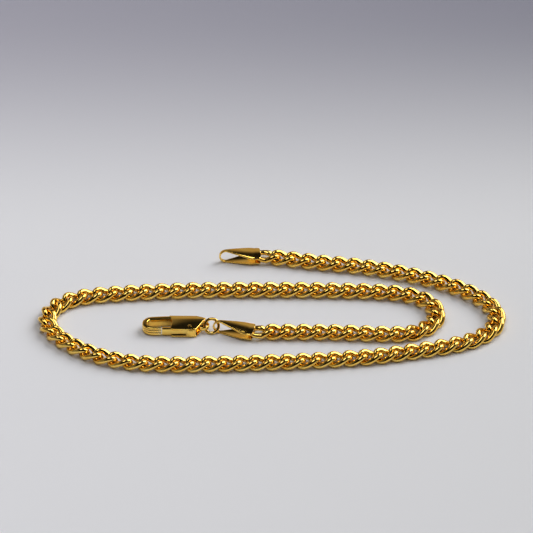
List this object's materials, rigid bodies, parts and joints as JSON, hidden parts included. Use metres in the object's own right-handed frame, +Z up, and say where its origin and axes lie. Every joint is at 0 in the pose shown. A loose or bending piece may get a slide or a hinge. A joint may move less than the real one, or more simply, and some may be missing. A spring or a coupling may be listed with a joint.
{
  "type": "pocket watch chain",
  "caption": "Gold curb chain laid in a flat spiral, with a folded tag at each end, a jump ring and a lobster clasp with a sprung gate.",
  "frame": {"origin": "on the table, under the middle of the laid-out chain's box", "axes": "+X along the strands, towards the outer right turn; +Y from the near strand to the far strand; +Z up"},
  "size_m": [0.0872, 0.0386, 0.0027],
  "materials": {
    "gold": "polished gold plate",
    "spring_steel": "plain spring steel"
  },
  "bodies": {
    "link_pair_01": {"link_pair_01": "gold", "end_tag": "gold"},
    "link_pair_02": {"link_pair_02": "gold"},
    "link_pair_03": {"link_pair_03": "gold"},
    "link_pair_04": {"link_pair_04": "gold"},
    "link_pair_05": {"link_pair_05": "gold"},
    "link_pair_06": {"link_pair_06": "gold"},
    "link_pair_07": {"link_pair_07": "gold"},
    "link_pair_08": {"link_pair_08": "gold"},
    "link_pair_09": {"link_pair_09": "gold"},
    "link_pair_10": {"link_pair_10": "gold"},
    "link_pair_11": {"link_pair_11": "gold"},
    "link_pair_12": {"link_pair_12": "gold"},
    "link_pair_13": {"link_pair_13": "gold"},
    "link_pair_14": {"link_pair_14": "gold"},
    "link_pair_15": {"link_pair_15": "gold"},
    "link_pair_16": {"link_pair_16": "gold"},
    "link_pair_17": {"link_pair_17": "gold"},
    "link_pair_18": {"link_pair_18": "gold"},
    "link_pair_19": {"link_pair_19": "gold"},
    "link_pair_20": {"link_pair_20": "gold"},
    "link_pair_21": {"link_pair_21": "gold"},
    "link_pair_22": {"link_pair_22": "gold"},
    "link_pair_23": {"link_pair_23": "gold"},
    "link_pair_24": {"link_pair_24": "gold"},
    "link_pair_25": {"link_pair_25": "gold"},
    "link_pair_26": {"link_pair_26": "gold"},
    "link_pair_27": {"link_pair_27": "gold"},
    "link_pair_28": {"link_pair_28": "gold"},
    "link_pair_29": {"link_pair_29": "gold"},
    "link_pair_30": {"link_pair_30": "gold"},
    "link_pair_31": {"link_pair_31": "gold"},
    "link_pair_32": {"link_pair_32": "gold"},
    "link_pair_33": {"link_pair_33": "gold"},
    "link_pair_34": {"link_pair_34": "gold"},
    "link_pair_35": {"link_pair_35": "gold"},
    "link_pair_36": {"link_pair_36": "gold"},
    "link_pair_37": {"link_pair_37": "gold"},
    "link_pair_38": {"link_pair_38": "gold"},
    "link_pair_39": {"link_pair_39": "gold"},
    "link_pair_40": {"link_pair_40": "gold"},
    "link_pair_41": {"link_pair_41": "gold"},
    "link_pair_42": {"link_pair_42": "gold"},
    "link_pair_43": {"link_pair_43": "gold"},
    "link_pair_44": {"link_pair_44": "gold"},
    "link_pair_45": {"link_pair_45": "gold"},
    "end_link_46": {"end_link_46": "gold", "clasp_tag": "gold"},
    "jump_ring": {"jump_ring": "gold"},
    "clasp": {"clasp_body": "gold", "clasp_rivet": "gold", "clasp_spring": "spring_steel"},
    "gate": {"clasp_lever": "gold"}
  },
  "joints": [
    {"name": "link_hinge_01", "type": "hinge", "parent": "link_pair_02", "child": "link_pair_01", "pos_m": [0.00353, 0.01629, 0.00109], "axis": [0.1143, 0.5621, -0.8192], "range_deg": [-25, 25]},
    {"name": "link_hinge_02", "type": "hinge", "parent": "link_pair_03", "child": "link_pair_02", "pos_m": [0.00925, 0.01518, 0.00109], "axis": [0.0901, 0.5665, 0.8192], "range_deg": [-25, 25]},
    {"name": "link_hinge_03", "type": "hinge", "parent": "link_pair_04", "child": "link_pair_03", "pos_m": [0.01499, 0.01426, 0.00109], "axis": [-0.0905, -0.5664, 0.8192], "range_deg": [-25, 25]},
    {"name": "link_hinge_04", "type": "hinge", "parent": "link_pair_05", "child": "link_pair_04", "pos_m": [0.02065, 0.01292, 0.00109], "axis": [-0.168, -0.5484, -0.8192], "range_deg": [-25, 25]},
    {"name": "link_hinge_05", "type": "hinge", "parent": "link_pair_06", "child": "link_pair_05", "pos_m": [0.02618, 0.01109, 0.00109], "axis": [0.1924, 0.5404, -0.8192], "range_deg": [-25, 25]},
    {"name": "link_hinge_06", "type": "hinge", "parent": "link_pair_07", "child": "link_pair_06", "pos_m": [0.03153, 0.00881, 0.00109], "axis": [0.2736, 0.5041, 0.8192], "range_deg": [-25, 25]},
    {"name": "link_hinge_07", "type": "hinge", "parent": "link_pair_08", "child": "link_pair_07", "pos_m": [0.03649, 0.00578, 0.00109], "axis": [-0.3226, -0.4743, 0.8192], "range_deg": [-25, 25]},
    {"name": "link_hinge_08", "type": "hinge", "parent": "link_pair_09", "child": "link_pair_08", "pos_m": [0.04053, 0.00162, 0.00109], "axis": [-0.5217, -0.2383, -0.8192], "range_deg": [-20, 25]},
    {"name": "link_hinge_09", "type": "hinge", "parent": "link_pair_10", "child": "link_pair_09", "pos_m": [0.04195, -0.00393, 0.00109], "axis": [0.9905, -0.1374, 0], "range_deg": [-20, 20]},
    {"name": "link_hinge_10", "type": "hinge", "parent": "link_pair_11", "child": "link_pair_10", "pos_m": [0.03897, -0.00879, 0.00109], "axis": [0.6426, -0.7662, 0], "range_deg": [-25, 25]},
    {"name": "link_hinge_11", "type": "hinge", "parent": "link_pair_12", "child": "link_pair_11", "pos_m": [0.03381, -0.01141, 0.00109], "axis": [0.3277, -0.9448, 0], "range_deg": [-25, 25]},
    {"name": "link_hinge_12", "type": "hinge", "parent": "link_pair_13", "child": "link_pair_12", "pos_m": [0.02821, -0.013, 0.00109], "axis": [-0.1356, 0.5573, -0.8192], "range_deg": [-20, 25]},
    {"name": "link_hinge_13", "type": "hinge", "parent": "link_pair_14", "child": "link_pair_13", "pos_m": [0.02255, -0.01437, 0.00109], "axis": [0.1332, -0.5579, -0.8192], "range_deg": [-25, 25]},
    {"name": "link_hinge_14", "type": "hinge", "parent": "link_pair_15", "child": "link_pair_14", "pos_m": [0.01683, -0.01541, 0.00109], "axis": [0.072, -0.569, 0.8192], "range_deg": [-25, 25]},
    {"name": "link_hinge_15", "type": "hinge", "parent": "link_pair_16", "child": "link_pair_15", "pos_m": [0.01105, -0.01609, 0.00109], "axis": [-0.0622, 0.5702, 0.8192], "range_deg": [-25, 25]},
    {"name": "link_hinge_16", "type": "hinge", "parent": "link_pair_17", "child": "link_pair_16", "pos_m": [0.00525, -0.01661, 0.00109], "axis": [-0.0394, 0.5722, -0.8192], "range_deg": [-25, 25]},
    {"name": "link_hinge_17", "type": "hinge", "parent": "link_pair_18", "child": "link_pair_17", "pos_m": [-0.00055, -0.01699, 0.00109], "axis": [0.0357, -0.5725, -0.8192], "range_deg": [-25, 25]},
    {"name": "link_hinge_18", "type": "hinge", "parent": "link_pair_19", "child": "link_pair_18", "pos_m": [-0.00637, -0.01731, 0.00109], "axis": [0.0246, -0.573, 0.8192], "range_deg": [-25, 25]},
    {"name": "link_hinge_19", "type": "hinge", "parent": "link_pair_20", "child": "link_pair_19", "pos_m": [-0.01218, -0.01754, 0.00109], "axis": [-0.0198, 0.5732, 0.8192], "range_deg": [-25, 25]},
    {"name": "link_hinge_20", "type": "hinge", "parent": "link_pair_21", "child": "link_pair_20", "pos_m": [-0.018, -0.01765, 0.00109], "axis": [0.0243, 0.5731, -0.8192], "range_deg": [-25, 25]},
    {"name": "link_hinge_21", "type": "hinge", "parent": "link_pair_22", "child": "link_pair_21", "pos_m": [-0.02381, -0.01726, 0.00109], "axis": [-0.0518, -0.5712, -0.8192], "range_deg": [-25, 25]},
    {"name": "link_hinge_22", "type": "hinge", "parent": "link_pair_23", "child": "link_pair_22", "pos_m": [-0.02949, -0.01605, 0.00109], "axis": [-0.2294, -0.5257, 0.8192], "range_deg": [-25, 25]},
    {"name": "link_hinge_23", "type": "hinge", "parent": "link_pair_23", "child": "link_pair_24", "pos_m": [-0.03466, -0.01341, 0.00109], "axis": [0.2915, 0.494, 0.8192], "range_deg": [-25, 25]},
    {"name": "link_hinge_24", "type": "hinge", "parent": "link_pair_24", "child": "link_pair_25", "pos_m": [-0.03911, -0.00968, 0.00109], "axis": [-0.7546, -0.6562, 0], "range_deg": [-25, 25]},
    {"name": "link_hinge_25", "type": "hinge", "parent": "link_pair_25", "child": "link_pair_26", "pos_m": [-0.04195, -0.00464, 0.00109], "axis": [-0.9867, -0.1627, 0], "range_deg": [-20, 20]},
    {"name": "link_hinge_26", "type": "hinge", "parent": "link_pair_26", "child": "link_pair_27", "pos_m": [-0.04042, 0.00085, 0.00109], "axis": [-0.7872, 0.6167, 0], "range_deg": [-25, 25]},
    {"name": "link_hinge_27", "type": "hinge", "parent": "link_pair_27", "child": "link_pair_28", "pos_m": [-0.03554, 0.0039, 0.00109], "axis": [0.225, -0.5276, 0.8192], "range_deg": [-25, 25]},
    {"name": "link_hinge_28", "type": "hinge", "parent": "link_pair_28", "child": "link_pair_29", "pos_m": [-0.02982, 0.00491, 0.00109], "axis": [0.0643, -0.57, -0.8192], "range_deg": [-25, 25]},
    {"name": "link_hinge_29", "type": "hinge", "parent": "link_pair_29", "child": "link_pair_30", "pos_m": [-0.02403, 0.00551, 0.00109], "axis": [-0.055, 0.5709, -0.8192], "range_deg": [-25, 25]},
    {"name": "link_hinge_30", "type": "hinge", "parent": "link_pair_30", "child": "link_pair_31", "pos_m": [-0.01822, 0.00593, 0.00109], "axis": [-0.0298, 0.5728, 0.8192], "range_deg": [-25, 25]},
    {"name": "link_hinge_31", "type": "hinge", "parent": "link_pair_31", "child": "link_pair_32", "pos_m": [-0.01241, 0.00619, 0.00109], "axis": [0.0198, -0.5732, 0.8192], "range_deg": [-25, 25]},
    {"name": "link_hinge_32", "type": "hinge", "parent": "link_pair_32", "child": "link_pair_33", "pos_m": [-0.00659, 0.00626, 0.00109], "axis": [0.0024, -0.5736, -0.8192], "range_deg": [-25, 25]},
    {"name": "link_hinge_33", "type": "hinge", "parent": "link_pair_33", "child": "link_pair_34", "pos_m": [-0.00077, 0.00628, 0.00109], "axis": [-0.0008, 0.5736, -0.8192], "range_deg": [-25, 25]},
    {"name": "link_hinge_34", "type": "hinge", "parent": "link_pair_34", "child": "link_pair_35", "pos_m": [0.00505, 0.00624, 0.00109], "axis": [0.0101, 0.5735, 0.8192], "range_deg": [-25, 25]},
    {"name": "link_hinge_35", "type": "hinge", "parent": "link_pair_35", "child": "link_pair_36", "pos_m": [0.01087, 0.00611, 0.00109], "axis": [-0.015, -0.5734, 0.8192], "range_deg": [-25, 25]},
    {"name": "link_hinge_36", "type": "hinge", "parent": "link_pair_36", "child": "link_pair_37", "pos_m": [0.01668, 0.00586, 0.00109], "axis": [-0.0387, -0.5723, -0.8192], "range_deg": [-25, 25]},
    {"name": "link_hinge_37", "type": "hinge", "parent": "link_pair_37", "child": "link_pair_38", "pos_m": [0.02248, 0.00537, 0.00109], "axis": [0.0576, 0.5707, -0.8192], "range_deg": [-25, 25]},
    {"name": "link_hinge_38", "type": "hinge", "parent": "link_pair_38", "child": "link_pair_39", "pos_m": [0.02794, 0.00344, 0.00109], "axis": [-0.5851, -0.811, 0], "range_deg": [-25, 25]},
    {"name": "link_hinge_39", "type": "hinge", "parent": "link_pair_39", "child": "link_pair_40", "pos_m": [0.03082, -0.00144, 0.00109], "axis": [0.9987, 0.0508, 0], "range_deg": [-15, 15]},
    {"name": "link_hinge_40", "type": "hinge", "parent": "link_pair_40", "child": "link_pair_41", "pos_m": [0.02836, -0.00651, 0.00109], "axis": [0.6136, -0.7896, 0], "range_deg": [-20, 20]},
    {"name": "link_hinge_41", "type": "hinge", "parent": "link_pair_41", "child": "link_pair_42", "pos_m": [0.02284, -0.00803, 0.00109], "axis": [0.0483, -0.5715, -0.8192], "range_deg": [-25, 25]},
    {"name": "link_hinge_42", "type": "hinge", "parent": "link_pair_42", "child": "link_pair_43", "pos_m": [0.01703, -0.00776, 0.00109], "axis": [-0.0405, -0.5721, 0.8192], "range_deg": [-25, 25]},
    {"name": "link_hinge_43", "type": "hinge", "parent": "link_pair_43", "child": "link_pair_44", "pos_m": [0.01122, -0.00744, 0.00109], "axis": [0.0233, 0.5731, 0.8192], "range_deg": [-25, 25]},
    {"name": "link_hinge_44", "type": "hinge", "parent": "link_pair_44", "child": "link_pair_45", "pos_m": [0.0054, -0.00732, 0.00109], "axis": [0.0047, 0.5736, -0.8192], "range_deg": [-25, 25]},
    {"name": "link_hinge_45", "type": "hinge", "parent": "link_pair_45", "child": "end_link_46", "pos_m": [-0.00042, -0.0073, 0.00109], "axis": [0.0014, -0.5736, -0.8192], "range_deg": [-25, 25]},
    {"name": "ring_swing", "type": "hinge", "parent": "end_link_46", "child": "jump_ring", "pos_m": [-0.00992, -0.0059, 0.00129], "axis": [0.1333, 0.6288, 0.766], "range_deg": [-20, 20]},
    {"name": "clasp_swing", "type": "hinge", "parent": "jump_ring", "child": "clasp", "pos_m": [-0.01252, -0.00543, 0.0012], "axis": [0.0446, 0.645, 0.7629], "range_deg": [-20, 20]},
    {"name": "gate_swing", "type": "hinge", "parent": "clasp", "child": "gate", "pos_m": [-0.01531, -0.00653, 0.001], "axis": [0, 0, 1], "range_deg": [-22, 0], "stiffness_Nm_per_rad": 0.002, "springref_deg": 17.19, "deforming": ["clasp_spring"]}
  ]
}
